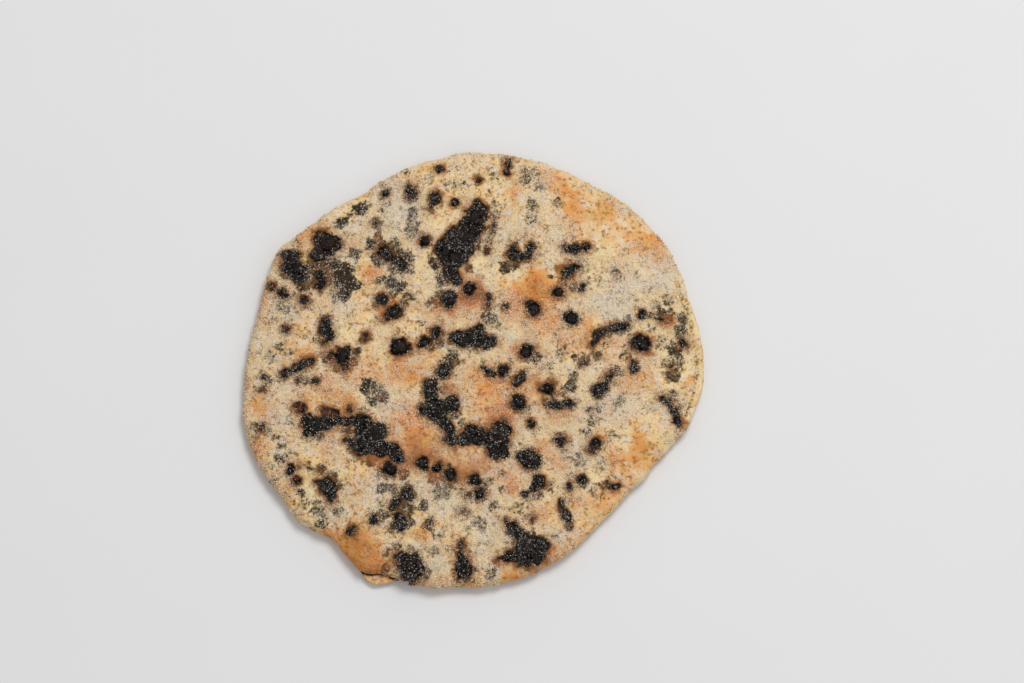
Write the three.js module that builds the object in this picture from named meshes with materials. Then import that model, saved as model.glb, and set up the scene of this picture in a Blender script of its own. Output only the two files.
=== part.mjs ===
// A large flat eccles cake: a round of pastry folded around a currant filling, rolled thin and baked as one piece.
// Millimetres, +Z up. The origin is the bottom centre of the cake's bounding box, on the face it rests on.
// +X runs along its longest extent, and the folded tab of pastry sits at its -X, -Y side.
import * as THREE from "three";

// Driving dimensions
const WIDTH = 160; // along X, over the rim
const DEPTH = 155; // along Y, over the rim
const CROWN = 10.6; // the rolled top, before its swellings
const SHOULDER = 7.4; // where the top turns down into the rim
const RIM_HEIGHT = 3.6; // the rim's widest level
const FOOT_INSET = 6.5; // the flat foot stops this far inside the rim
const SHOULDER_INSET = 4.2; // the top turns down this far inside the rim
const CROWN_INSET = 24; // the top is level further inside the rim than this
const TOP_SHARE = 0.35; // how far the top follows the rim's small points, which belong to the pastry under it

// Facets
const STEPS_ROUND = 120;
const STEPS_FOOT = 4;
const STEPS_RIM = 5; // below the rim's widest level, and as many above it
const STEPS_TOP = 15;

// The rim's radius every 15 degrees, anticlockwise from +X. It is hand-rolled, so it is round only by eye:
// flattened at the lower right, full at the left.
const RIM_RADII = [
  80.0, 78.8, 79.6, 78.9, 78.0, 77.3, 77.4, 76.4, 74.1, 76.0, 79.4, 78.6,
  79.6, 82.5, 81.2, 79.2, 79.6, 78.4, 77.0, 75.5, 71.7, 69.3, 71.2, 77.0,
];

// Small things that break the rim's line.
const RIM_POINTS = [
  { angle: 245, reach: 4.4, spread: 4.6 }, // a tab of pastry that folds out from under the top
  { angle: 232, reach: -1.6, spread: 2.6 }, // the notch beside it
  { angle: 221.5, reach: 2.0, spread: 4.5 }, // a bulge left by the rolling pin
  { angle: 147.5, reach: 1.6, spread: 2.6 }, // the point of a crease
];

// Swellings and hollows of the top, each a round hill of this height whose side falls away over its radius.
const SWELLINGS = [
  { x: 40, y: 58, radius: 17, height: 1.3 }, // long ridge at the upper right, in three hills
  { x: 56, y: 47, radius: 15, height: 1.3 },
  { x: 24, y: 66, radius: 12, height: 0.8 },
  { x: 22, y: 28, radius: 13, height: 1.2 }, // high toasted patch above the middle
  { x: -15, y: 0, radius: 20, height: 1.0 }, // broad middle
  { x: 4, y: -33, radius: 18, height: 1.2 }, // caramel patch below the middle
  { x: -24, y: -32, radius: 12, height: 0.8 },
  { x: 58, y: -31, radius: 16, height: 1.2 }, // lower right
  { x: 34, y: 2, radius: 14, height: 0.7 },
  { x: -60, y: -26, radius: 12, height: 0.8 }, // left edge
  { x: -56, y: 8, radius: 14, height: 0.8 },
  { x: -38, y: -62, radius: 9, height: 1.9 }, // over the folded tab
  { x: -12, y: 62, radius: 15, height: 0.7 }, // upper left
  { x: -50, y: 38, radius: 12, height: 0.8 },
  { x: 20, y: -62, radius: 13, height: 0.8 }, // lower edge
  { x: 2, y: 40, radius: 10, height: -0.9 }, // hollow beside the long run of bare fruit
  { x: -34, y: 22, radius: 9, height: -0.8 },
  { x: 42, y: 26, radius: 9, height: -0.7 },
  { x: 30, y: -22, radius: 8, height: -0.6 },
  { x: -42, y: -42, radius: 9, height: -0.8 },
  { x: -4, y: -52, radius: 8, height: -0.7 },
];

const NOMINAL_RADIUS = WIDTH / 2;

// The rim's radius at any angle, from a closed smooth curve through RIM_RADII.
const rimCurve = new THREE.CatmullRomCurve3(
  RIM_RADII.map((radius) => new THREE.Vector3(radius, 0, 0)),
  true,
  "catmullrom",
);

function rimRadius(degrees) {
  const turn = (((degrees % 360) + 360) % 360) / 360;
  return rimCurve.getPoint(turn).x;
}

// How far the small points stand out of the rim at an angle, below zero in a notch.
function pointReach(degrees) {
  let reach = 0;
  for (const point of RIM_POINTS) {
    const away = Math.abs(((degrees - point.angle + 540) % 360) - 180);
    reach += point.reach * Math.exp(-((away / point.spread) ** 2));
  }
  return reach;
}

// The half section, from the middle of the foot out round the rim and back to the middle of the top.
function halfSection() {
  const points = [];
  const footRadius = NOMINAL_RADIUS - FOOT_INSET;
  for (let i = 0; i < STEPS_FOOT; i++) {
    points.push(new THREE.Vector2((footRadius * i) / STEPS_FOOT, 0));
  }
  for (let i = 0; i < STEPS_RIM; i++) {
    const turn = ((Math.PI / 2) * i) / STEPS_RIM;
    points.push(
      new THREE.Vector2(
        footRadius + FOOT_INSET * Math.sin(turn),
        RIM_HEIGHT * (1 - Math.cos(turn)),
      ),
    );
  }
  for (let i = 0; i < STEPS_RIM; i++) {
    const turn = ((Math.PI / 2) * i) / STEPS_RIM;
    points.push(
      new THREE.Vector2(
        NOMINAL_RADIUS - SHOULDER_INSET * (1 - Math.cos(turn)),
        RIM_HEIGHT + (SHOULDER - RIM_HEIGHT) * Math.sin(turn),
      ),
    );
  }
  const topRadius = NOMINAL_RADIUS - SHOULDER_INSET;
  for (let i = 0; i <= STEPS_TOP; i++) {
    const radius = topRadius * (1 - i / STEPS_TOP);
    const rise = Math.min(1, (topRadius - radius) / (CROWN_INSET - SHOULDER_INSET));
    const smooth = 1 - (1 - rise) ** 2;
    points.push(
      new THREE.Vector2(radius, SHOULDER + (CROWN - SHOULDER) * smooth),
    );
  }
  return points;
}

// How far the swellings lift the top at a point.
function swelling(x, y) {
  let lift = 0;
  for (const hill of SWELLINGS) {
    const away = Math.hypot(x - hill.x, y - hill.y) / hill.radius;
    lift += hill.height * Math.exp(-away * away);
  }
  return lift;
}

// The turned section, with its round rim pushed out to the hand-rolled one and its top lifted by the swellings.
function cakeGeometry() {
  const geometry = new THREE.LatheGeometry(halfSection(), STEPS_ROUND);
  geometry.rotateX(Math.PI / 2);
  const position = geometry.getAttribute("position");
  for (let i = 0; i < position.count; i++) {
    const angle = THREE.MathUtils.radToDeg(
      Math.atan2(position.getY(i), position.getX(i)),
    );
    const z = position.getZ(i);
    const overRim = THREE.MathUtils.smoothstep(z, RIM_HEIGHT, SHOULDER);
    const share = 1 - (1 - TOP_SHARE) * overRim;
    const stretch =
      (rimRadius(angle) + share * pointReach(angle)) / NOMINAL_RADIUS;
    const x = position.getX(i) * stretch;
    const y = position.getY(i) * stretch;
    const onTop = THREE.MathUtils.smoothstep(z, RIM_HEIGHT, CROWN);
    position.setXYZ(i, x, y, z + onTop * swelling(x, y));
  }
  geometry.computeBoundingBox();
  const size = geometry.boundingBox.getSize(new THREE.Vector3());
  const middle = geometry.boundingBox.getCenter(new THREE.Vector3());
  geometry.translate(-middle.x, -middle.y, 0);
  geometry.scale(WIDTH / size.x, DEPTH / size.y, 1);
  geometry.computeVertexNormals();
  return geometry;
}

const bakedPastry = new THREE.MeshStandardMaterial({
  color: 0xdcb582,
  roughness: 0.75,
  metalness: 0,
});

const cake = new THREE.Mesh(cakeGeometry(), bakedPastry);
cake.name = "eccles_cake";

const ecclesCake = new THREE.Group();
ecclesCake.add(cake);

export default ecclesCake;
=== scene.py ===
import math
from functools import partial

import bpy
import numpy as np
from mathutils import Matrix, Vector
from mathutils.bvhtree import BVHTree


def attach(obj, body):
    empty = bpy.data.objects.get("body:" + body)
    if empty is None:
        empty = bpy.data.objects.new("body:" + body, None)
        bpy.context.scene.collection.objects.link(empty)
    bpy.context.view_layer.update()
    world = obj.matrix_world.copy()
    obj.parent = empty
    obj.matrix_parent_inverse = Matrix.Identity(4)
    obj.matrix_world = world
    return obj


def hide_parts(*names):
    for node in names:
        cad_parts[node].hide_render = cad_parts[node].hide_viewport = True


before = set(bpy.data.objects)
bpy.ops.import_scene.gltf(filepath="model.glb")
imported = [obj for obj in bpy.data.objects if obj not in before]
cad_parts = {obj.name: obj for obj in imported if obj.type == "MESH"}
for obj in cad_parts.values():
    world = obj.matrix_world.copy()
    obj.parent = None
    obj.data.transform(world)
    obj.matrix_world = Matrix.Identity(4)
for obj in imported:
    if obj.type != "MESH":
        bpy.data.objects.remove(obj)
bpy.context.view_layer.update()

# A large flat eccles cake: pastry folded round currants, rolled out thin so that the fruit shows through and
# bursts out, dusted with sugar and baked. Lengths are in millimetres on the cake, X to the right and Y away
# from the viewer, until build_mesh turns them into metres. The stage, lights and camera are in metres.

MM = 0.001
CAKE = "eccles_cake"
LAYOUT_Y = -2.4  # the layouts' own origin is this far along Y from the cake's axis

# ------------------------------------------------------------------------------
# Layout of the fruit, as chains of circles (x, y, radius). Currants baked side by side make one chain.
# ------------------------------------------------------------------------------

# Whole currants that stand on their own.
SINGLE_CURRANTS = [
    (-66.6, 27.8, 1.9), (-59.2, 24.8, 1.7), (-30.8, 63.9, 1.2), (-12.2, 73, 1), (-34.1, 52.7, 1),
    (-6.7, 60, 0.7), (-16.9, 46.6, 1.9), (-1.8, 29.2, 1.9), (-31.9, 24.8, 1.8), (-27.8, 20.5, 2.1),
    (11.9, 75.2, 0.8), (20.4, 21.6, 2.3), (5.4, 25.4, 1.1), (39.3, 43.7, 1.1), (34, 18.4, 2.3),
    (29.3, 27.6, 1.8), (-45.2, 5, 3.1), (-25.6, 8, 3.1), (-16.9, 9.3, 1.9), (-12.8, 12.9, 2),
    (18.2, 6.4, 2.3), (10.1, -0.8, 1.8), (25.6, -6.8, 2.3), (15.5, -11.7, 2.2), (20, -19.2, 1.3),
    (30, -25.2, 1.4), (41.6, -25.8, 1.3), (58.4, 9.6, 3.5), (72.6, 9.8, 1.4), (58.4, 19.6, 1.2),
    (37.6, -38.6, 1.1), (33.2, -41.2, 0.8), (-62, -34.4, 1.2), (-33.8, -52.8, 1.3), (-28.8, -34.9, 2.2),
    (-17.5, -33, 2.4), (-12.3, -34.3, 1.7), (-7.9, -37.2, 2.4), (0.5, -38.8, 2.2), (2, -43.6, 1.5),
    (49.4, 35.2, 0.4), (-3.3, -49.5, 0.8), (46.6, -40.6, 0.9), (-73, -6.2, 0.5), (-73, -19.8, 0.5),
    (39.6, -13.7, 0.6), (37.4, 29.1, 0.8), (20.5, -52.1, 0.6), (-54.5, -3.9, 0.4), (-52.8, -35.4, 0.8),
    (43.1, 4.9, 0.7), (38.4, 2.7, 0.8), (-9, 25, 2.6), (-1.3, -44.2, 0.6), (68.1, 1.6, 0.7),
    (-72.4, -2, 0.3), (-60.7, -3.6, 0.3), (6.6, 51.6, 0.6),
]

# Whole currants baked red brown, where the skin split and the syrup ran out.
RED_CURRANTS = [
    (-53.6, 49.2, 1.3), (4.6, 42.8, 1.2), (-59.8, -13.6, 1.7), (-42.5, -14.4, 0.9), (1.6, 68.7, 0.6),
    (11.5, 71.6, 0.5), (-70, 30.3, 1), (49, -40.6, 0.7), (40.4, -28, 0.9), (10.8, 22.9, 0.6),
    (-51.4, -15.6, 1.8), (-48, -15.6, 1.3), (-40.6, -56, 0.8), (-4.2, -62.9, 0.9), (-49.4, 4.4, 1.6),
    (-44.8, 0.8, 1.2), (-65.2, 15, 1.1), (-61, -38, 1.1), (-30, 18.8, 1.2), (1.4, 59.4, 1.2),
    (11, -18.6, 0.7), (-22.8, 66.8, 1), (-53, 40.6, 1),
]

# Currants that baked together into runs and clumps.
CURRANT_RUNS = [
    # the long clump above the middle, which leans down to the left
    [(1.8, 57.4, 2.7), (0.6, 54.2, 3.7), (-1.2, 50.8, 4), (-2.4, 48, 4.2), (-6.4, 46.2, 3.8)],
    [(-9.6, 43.4, 3.7), (-5.6, 42.8, 3.7), (-5.4, 39.8, 2.8), (-8.8, 39.8, 3.4)],
    [(-8.2, 36.6, 2.3), (-7.8, 33.6, 2.2), (-5.2, 31.4, 1.2)],
    [(5.6, 25.8, 1), (5.2, 23.6, 1)],
    [(-1.4, 45.2, 1.7), (-2.2, 41.6, 1.5), (-3.4, 38.6, 1.2)],
    # upper left, and down from there to the left edge
    [(-64, 40.4, 3.1), (-63.8, 37.6, 3), (-60.8, 34, 3)],
    [(-53, 46.6, 2.5), (-50, 44.8, 3.2), (-52.4, 42.6, 3), (-54.4, 41.4, 2.1)],
    [(-31.2, 41.8, 1.8), (-29.4, 40.4, 1.2)],
    [(-26.8, 38.6, 1.7), (-25, 36.4, 1.5)],
    [(-53.4, 34.2, 1.7), (-53, 30.6, 2)],
    [(-12.9, 62.6, 1.3), (-14, 60.6, 1.4), (-15.2, 57.8, 0.9)],
    [(-22.8, 66.4, 1), (-21.8, 63, 1.4)],
    [(-51.3, 16.4, 1.8), (-50.6, 13.2, 2.5), (-50.8, 10.4, 1.5)],
    [(-66.2, -1.8, 0.9), (-62.8, -0.3, 0.9), (-58.6, 1.9, 1.3), (-56.2, 3, 0.8)],
    [(-37.2, 12.2, 0.9), (-37.8, 10.8, 0.6)],
    # upper right, and in from there to the middle
    [(20.1, 44, 1.6), (18.6, 41, 0.9), (15.2, 40.2, 1.7), (12.6, 41.4, 0.8)],
    [(32.2, 43.2, 1.1), (35.6, 43, 1.4)],
    [(32.6, 34.4, 1.9), (34.2, 35.8, 1.8)],
    [(-7.6, 11.2, 1), (-4.6, 10.8, 2), (-0.6, 11, 2.7), (1.6, 10.8, 3.3), (6, 10.2, 1.9)],
    [(1.8, 14.2, 1.5), (2.4, 9.8, 2.6)],
    [(14, 44.6, 0.7), (13.4, 43.4, 0.5)],
    [(3.4, 0.7, 1), (6.8, -1.6, 1.2)],
    [(17.3, -1.8, 1.4), (15.3, -4.4, 1.4)],
    # the hook right of the middle, and the small runs below it
    [(41.4, 9.8, 0.9), (42.6, 12.2, 0.9), (45.2, 13.8, 0.5), (47, 14.4, 0.6), (50, 15, 1.2),
     (53.2, 15.8, 0.4)],
    [(62.4, 18.6, 0.6), (65, 17.8, 0.9), (67.4, 18.4, 0.6)],
    [(55.8, 2.4, 0.7), (55.2, -0.2, 0.9)],
    [(48, -1.4, 0.9), (46.8, -3.6, 1.2)],
    [(44.6, -6.2, 1), (43.2, -7.8, 1.8)],
    [(27.4, -12.6, 1.5), (29.8, -12.4, 0.8), (32.6, -12, 1.2)],
    # beside the fold line
    [(65.2, -10, 0.7), (67.4, -12.2, 1), (70, -14.8, 1.1), (71, -18.4, 0.8)],
    # the chain down through the middle, and the clump at its foot
    [(-10.8, -1.8, 1.8), (-8.6, 1.4, 0.9)],
    [(-14.8, -6.4, 2.5), (-14.8, -9.4, 2.1), (-13.4, -12.6, 2.9), (-10.4, -13.6, 2.6), (-7.2, -12.2, 2.2)],
    [(-15.8, -14, 2.2), (-12.4, -15.8, 2.7), (-9.8, -18.8, 1.8), (-8.4, -21.4, 1.4), (-7.8, -24.4, 2.3)],
    [(-5.4, -25, 1.2), (-0.6, -23.4, 3.2), (3.4, -24.2, 2.5), (7.6, -25.4, 3.9), (8.4, -27.6, 3.9)],
    [(8, -24, 2.6), (9.2, -21.2, 2.2), (11.2, -22, 1.8)],
    [(17.8, -30.4, 2.3), (20.8, -32.8, 2.6)],
    # lower left: the chain into the large clump, and what lies round it
    [(-57, -18.2, 2), (-55.6, -20.2, 3), (-51.4, -19, 3.2), (-46.4, -18.4, 1.3), (-43.1, -18.6, 1.2),
     (-38.8, -17.6, 2.4), (-37.4, -21.4, 3.4), (-35.2, -23.4, 4.7), (-38.2, -27, 3.5)],
    [(-35.2, -23.6, 3.6), (-32.4, -21.6, 2.5)],
    [(-43.8, -25.2, 0.7), (-40.6, -26.4, 2)],
    [(-34, -26.8, 3.2), (-28.4, -28.2, 2.3), (-25.6, -31.4, 2.1)],
    [(-53.2, -39.4, 0.6), (-50.6, -40.2, 2), (-49.2, -41.8, 2.1), (-48.8, -45.2, 1.1)],
    [(-63.6, -35.8, 0.5), (-62, -34.4, 0.9), (-60.4, -33.8, 0.5)],
    [(-43, -57.2, 0.5), (-41.6, -56.6, 0.6)],
    # lower middle, with the two clumps at the edge
    [(-22.8, -43.4, 1.7), (-21.4, -45, 1.2)],
    [(-26.4, -46.6, 1.1), (-27.6, -48.4, 0.8)],
    [(-25.2, -51.2, 0.9), (-24.8, -53.4, 1.2)],
    [(-26.8, -55.2, 0.9), (-24.2, -54.6, 1.4)],
    [(-25.2, -65.4, 1.7), (-20.6, -66.2, 2.3), (-19.2, -69.4, 2.2), (-21.8, -71.2, 2.1), (-23.6, -68.4, 2.6)],
    [(-4.2, -61.2, 0.8), (-4, -64.9, 1.1), (-3.7, -68.6, 2.3), (-3, -71, 1.8)],
    [(10.6, -53.4, 0.6), (13.6, -56.2, 1.5), (16.4, -58.8, 2.2), (18.4, -61.4, 3.2), (23, -62.2, 2.6)],
    [(8.8, -66, 0.4), (12.2, -65.4, 1.1), (15.6, -65.4, 2.4), (19.2, -65.4, 2.7), (22.6, -64.8, 2)],
    [(22.2, -39.8, 2.3), (19.6, -43.2, 0.9), (17.6, -43.9, 0.9)],
    [(29.8, -46.2, 0.6), (31.6, -49.8, 0.8), (32.6, -53, 0.9)],
]

# Fruit just under the crust, where it shows through as grey speckle: (x, y, radius, how strongly it shows).
COVERED_FRUIT = [
    (-49.2, 37.4, 3.4, 0.95), (-56.8, 36.2, 3.4, 0.82), (-53, 36.8, 3.6, 0.95), (-54.6, 31.6, 3.4, 0.85),
    (-50.2, 31.6, 2.6, 0.70), (-53, 33.6, 5, 0.78), (-46.6, 33, 4.6, 0.82), (-58.4, 32.6, 2.8, 0.72),
    (-48, 28, 3, 0.52), (-44.4, 34.6, 3.6, 1.00), (-43.2, 31, 3.6, 1.00), (-45, 27.4, 3.2, 1.00),
    (-70, 30.4, 1.5, 0.55), (-39.7, 58, 3, 0.85), (-37.2, 59.8, 2, 0.55), (-46.1, 53.2, 2.2, 0.90),
    (-32.2, 57.8, 1.3, 0.70), (-34, 52.4, 2.4, 0.65), (-33.6, 47.8, 2, 0.65), (-34.6, 43.8, 2.4, 0.60),
    (-21.2, 57, 2.3, 0.68), (-21, 55, 2.6, 0.62), (-22, 50, 3.6, 0.56), (-19.6, 52.2, 1.6, 0.50),
    (-30.4, 42.2, 4.8, 1.00), (-25.6, 38.8, 5, 1.00), (-28, 45, 2.6, 0.62), (-22.4, 35.4, 1.8, 0.50),
    (-26.4, 42.4, 2.6, 0.70), (-28.4, 31, 2.8, 0.92), (-26, 29.8, 2.6, 0.88), (-33.2, 31.6, 1.2, 0.60),
    (-31.4, 33, 1.6, 0.55), (-22.6, 26, 2.6, 0.50), (-27, 52, 2, 0.30), (-6.4, 67.2, 2.6, 0.36),
    (-9.4, 66, 2.6, 0.36), (-3.5, 67.3, 0.9, 0.70), (-30.4, 60.4, 2.4, 0.40), (-15.8, 68.8, 2.2, 0.30),
    (-9.4, 25, 4.6, 0.80), (-11.8, 26.6, 2.2, 0.60), (18.4, 69, 3.2, 0.50), (21, 71.4, 2, 0.36),
    (16.6, 72.4, 1.8, 0.34), (23.1, 66.2, 2.6, 0.42), (20.4, 58.6, 2.4, 0.42), (20.2, 54.2, 2.4, 0.38),
    (7, 58.4, 2.6, 0.34), (7.6, 55.6, 2.4, 0.42), (6.4, 50, 2.6, 0.55), (5.2, 46.6, 2, 0.40),
    (25.3, 50.3, 2.4, 0.26), (29.3, 59.9, 1.9, 0.50), (11, 37.4, 2.8, 0.85), (14.8, 37.4, 2.2, 0.80),
    (5.8, 63, 1.6, 0.30), (7.6, 67.6, 2.6, 0.30), (26.6, 33.4, 1.1, 0.60), (28.9, 36, 1, 0.70),
    (33.2, 38.6, 2.2, 0.35), (31.4, 31, 2.2, 0.50), (34.6, 29.4, 1.9, 0.50), (40, 31.6, 2.2, 0.35),
    (36.6, 40, 1.8, 0.35), (-66.4, 23.2, 3.4, 0.42), (-60.6, 21.8, 2.4, 0.30), (-57, 26, 2.4, 0.28),
    (-63.4, 27, 2.2, 0.34), (-70.4, 18, 2.2, 0.32), (-58, 12.6, 2.2, 0.24), (-67.6, 8.2, 2.4, 0.40),
    (-64.4, 6.2, 2, 0.34), (-18.2, 16.6, 1.8, 0.45), (-15, 8.4, 2, 0.80), (-11.6, 10, 2.2, 0.70),
    (-6.6, 11, 2.6, 0.85), (5.2, 18.2, 3.2, 0.55), (7.8, 15.6, 2.2, 0.50), (4.6, 22, 2, 0.40),
    (-7.6, 3.8, 3, 0.85), (-5.4, 2.4, 2.4, 0.58), (-10.2, -1, 3.2, 0.92), (-36.4, -5.2, 2.4, 0.90),
    (-33.8, -7, 3.8, 0.60), (-31.8, -9, 2.6, 0.95), (-31.8, -5.6, 1.8, 0.60), (-37.9, 10.6, 2.6, 0.80),
    (-3.8, -19.6, 2.8, 0.50), (-6.4, -16.2, 2.8, 0.58), (-4.8, -22.4, 2, 0.55), (21.8, 4.6, 2.3, 0.80),
    (30.4, 6, 3.4, 0.36), (26, 1.4, 2.6, 0.30), (33.9, -6, 2.8, 0.66), (34.2, -2.6, 2, 0.60),
    (30.4, -8, 2, 0.45), (37.6, 2.4, 2.4, 0.74), (43.2, 5, 1.9, 0.65), (34.8, 4.4, 1, 0.70),
    (50.8, -0.8, 2.6, 0.48), (53, 4.4, 2.8, 0.48), (43.8, -7.2, 3.2, 0.88), (49.6, -4.6, 2, 0.36),
    (50.2, 14.6, 2.6, 0.75), (46.4, 13.2, 2.4, 0.60), (53.4, 17.6, 2.2, 0.50), (42.2, 11, 2.2, 0.60),
    (45.4, 8.8, 2.4, 0.34), (47.8, 27.6, 2.2, 0.20), (54.4, 26.6, 2, 0.22), (61.4, 29.6, 2.2, 0.18),
    (43, 32.4, 2.6, 0.24), (50.4, 33, 1.8, 0.18), (57.4, 34, 1.8, 0.14), (67.2, 25.2, 3, 0.45),
    (63.4, 23.2, 2.6, 0.34), (65.4, 19.9, 2.8, 0.82), (61.6, 19.2, 1.4, 0.60), (68.4, 21, 2.2, 0.66),
    (72.6, 18.8, 2.4, 0.66), (61.2, 14.8, 2.4, 0.34), (64.8, 9.6, 3.6, 0.32), (69.8, 7.6, 3.2, 0.72),
    (71.6, 14, 2.8, 0.70), (69.2, -1.6, 3.4, 0.70), (66.6, 2.4, 2.4, 0.50), (70.6, 2.6, 2.4, 0.50),
    (55.4, 1.2, 2.6, 0.75), (53, 7.6, 1.8, 0.36), (50.3, -11.4, 2.5, 0.52), (42.5, -13.8, 2, 0.48),
    (41.4, -18, 3, 0.42), (66, -10.6, 2, 0.60), (69.4, -13.6, 2.2, 0.60), (68.6, -8.4, 2.2, 0.55),
    (71, -16.6, 2, 0.65), (47.6, -23, 2, 0.45), (45.6, -26.6, 2.6, 0.20), (39, -22.4, 2.2, 0.34),
    (33.4, -25.4, 2, 0.42), (35.9, -32.2, 2.8, 0.40), (31.8, -29.6, 2.4, 0.30), (9.9, -36.4, 1.7, 0.45),
    (9.9, -42.4, 1.7, 0.50), (3, -43.4, 3, 0.74), (-0.6, -44.2, 2.2, 0.60), (5.2, -40, 2.4, 0.45),
    (6.8, -47.8, 2.2, 0.44), (14.6, -48.6, 3, 0.40), (22, -44.2, 2.6, 0.50), (26, -41.6, 2.6, 0.40),
    (19, -47.6, 2.4, 0.30), (45, -40.6, 2, 0.50), (44, -44.2, 2.6, 0.24), (41.2, -42, 2, 0.34),
    (37.8, -38.6, 2.3, 0.60), (33.4, -37, 2.2, 0.30), (30.8, -50, 2.2, 0.44), (32.8, -54.6, 2.2, 0.78),
    (2.2, -54.2, 3.4, 0.46), (-2, -57, 2.6, 0.32), (44, -33, 3.4, 0.26), (-9, -39.2, 3, 0.66),
    (-4.4, -42, 2.4, 0.38), (-17.2, -47.4, 2.6, 0.60), (-11.2, -43.2, 3.2, 0.62), (-24.6, -47.4, 3.4, 0.80),
    (-23.4, -51, 3, 0.72), (-22.8, -43.6, 3.8, 0.95), (-26.8, -47.2, 2.8, 0.90), (-22, -48.6, 3.2, 0.62),
    (-25.6, -51.4, 2.8, 0.70), (-25.4, -53.8, 3, 0.90), (-21.6, -53.6, 2.4, 0.70),
    (-30.8, -41.8, 2.4, 0.75), (-27.6, -42, 2.4, 0.70), (-31.6, -46.4, 2.2, 0.32), (-15, -54.6, 3, 0.58),
    (-12.6, -58.6, 2.4, 0.36), (-13.4, -63.2, 2.8, 0.42), (-9.4, -56, 2.4, 0.28), (-25.4, -62, 1.4, 0.60),
    (-21.4, -62.6, 1.4, 0.40), (-29.6, -68.6, 2.6, 0.55), (-29.8, -64.4, 2, 0.40),
    (-52.4, -34.9, 2.6, 0.85), (-55.8, -34.2, 1.8, 0.55), (-48.4, -37.2, 2.6, 0.65),
    (-53.4, -39.6, 2, 0.40), (-59, -42.8, 1.8, 0.60), (-53.4, -48.8, 3.2, 0.58), (-52.2, -53.2, 2.8, 0.52),
    (-46.4, -49.4, 2.2, 0.55), (-57.4, -47.2, 2.2, 0.36), (-66.2, -26.6, 2.2, 0.50),
    (-66.6, -30.6, 2.2, 0.54), (-68, -23.7, 1.5, 0.66), (-63.6, -30, 2, 0.34), (-75.2, -19.4, 2.4, 0.50),
    (-75.2, -24, 2.2, 0.48), (-71.4, -21.2, 2, 0.36), (-70.6, -4, 2.2, 0.42), (-73, -1.6, 1.8, 0.30),
    (-71, 5, 2.6, 0.30), (-72.2, -6, 2, 0.36), (-60.6, -3.5, 1.6, 0.65), (-57.4, -3.8, 1.8, 0.44),
    (-54.4, -4, 1.6, 0.60), (-66.8, 8.8, 2.2, 0.30), (-62.6, -17.6, 2.4, 0.30), (-68.4, -38, 2.4, 0.30),
    (-60.2, -47, 2.6, 0.32), (-56, -56, 2.6, 0.32), (-69.6, -33.4, 2, 0.30), (6, -70.4, 2.4, 0.42),
    (-2.6, -73, 1.6, 0.50), (6, -60.6, 2.4, 0.26), (28.2, -58.7, 1.6, 0.42), (17.4, -52.2, 2, 0.32),
    (12, -61.4, 2.6, 0.30), (-61.4, 46.6, 1.6, 0.30), (52, -36, 3, 0.18), (60.2, -13.6, 2.8, 0.24),
    (25.4, -14.8, 1.6, 0.40), (23, -12.4, 1.6, 0.40), (18.6, -14.4, 1.8, 0.40), (35.4, -11.2, 1.8, 0.40),
    (38.6, 36.6, 3, 0.22), (12.6, 2.6, 2.2, 0.30), (12.8, -3.6, 2.2, 0.30), (29, 12.4, 2.4, 0.22),
    (-33.6, 17.6, 2.6, 0.26), (-43.4, 18, 2.8, 0.22), (-45, 48, 2.2, 0.26), (-66, 34.6, 2, 0.60),
    (-59.4, 29.6, 2.2, 0.85), (-58, 22.8, 2, 0.60), (-35.8, 44.6, 2.6, 0.90), (-33.6, 39.6, 2.4, 0.85),
    (-13.4, 37.6, 2.4, 0.80), (-10.8, 31.4, 2.8, 0.90), (-1.6, 36.6, 2, 0.70), (1.2, 45, 2.2, 0.75),
    (1, 27, 1.8, 0.80), (-55.4, 10.8, 1.6, 0.70), (-50, 3.8, 2.2, 0.85), (-46.8, 0.6, 2.2, 0.85),
    (-41.6, 2.4, 2, 0.80), (-40, 6.6, 2.2, 0.80), (-37.2, -6.8, 2.4, 0.90), (-34.8, -10.8, 2.2, 0.75),
    (-9.8, -6.4, 2.6, 0.55), (-18.2, -15, 1.6, 0.70), (-35.4, -32.4, 2.6, 0.85), (-24, -36.4, 2.6, 0.80),
    (-13.4, -38, 2.6, 0.90), (-6.4, -27.4, 1.6, 0.60), (-31.2, -51, 2.2, 0.70), (-16.4, -70.6, 1.8, 0.75),
    (0.4, -69.6, 1.8, 0.75), (0.2, -72.4, 1.4, 0.45), (19.6, -57.8, 1.8, 0.80), (24.6, -11.6, 2.4, 0.85),
    (-53.2, -22.8, 2.2, 0.75), (-43.4, -21.4, 2.2, 0.70), (-58.6, -42.4, 1.6, 0.60),
    (-46.4, -40.8, 1.8, 0.60), (-28.2, 27.4, 2, 0.60), (-24, 23.8, 2, 0.60), (-46.6, 52.8, 2.4, 0.85),
    (-40.6, 58.8, 2.2, 0.80), (-14.4, 24, 2.4, 0.60), (-15.2, 40, 1.4, 0.50), (-48, 25.6, 1.8, 0.50),
    (-41.4, 41.4, 3, 0.65), (-43, 56.4, 2, 0.45), (-41.6, 30, 2.6, 1.00), (-24.4, 72.2, 2, 0.30),
    (0.6, 75.6, 2.2, 0.28), (5.4, 72.2, 2.4, 0.32), (-38.6, -42.6, 2.6, 0.24),
]

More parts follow.
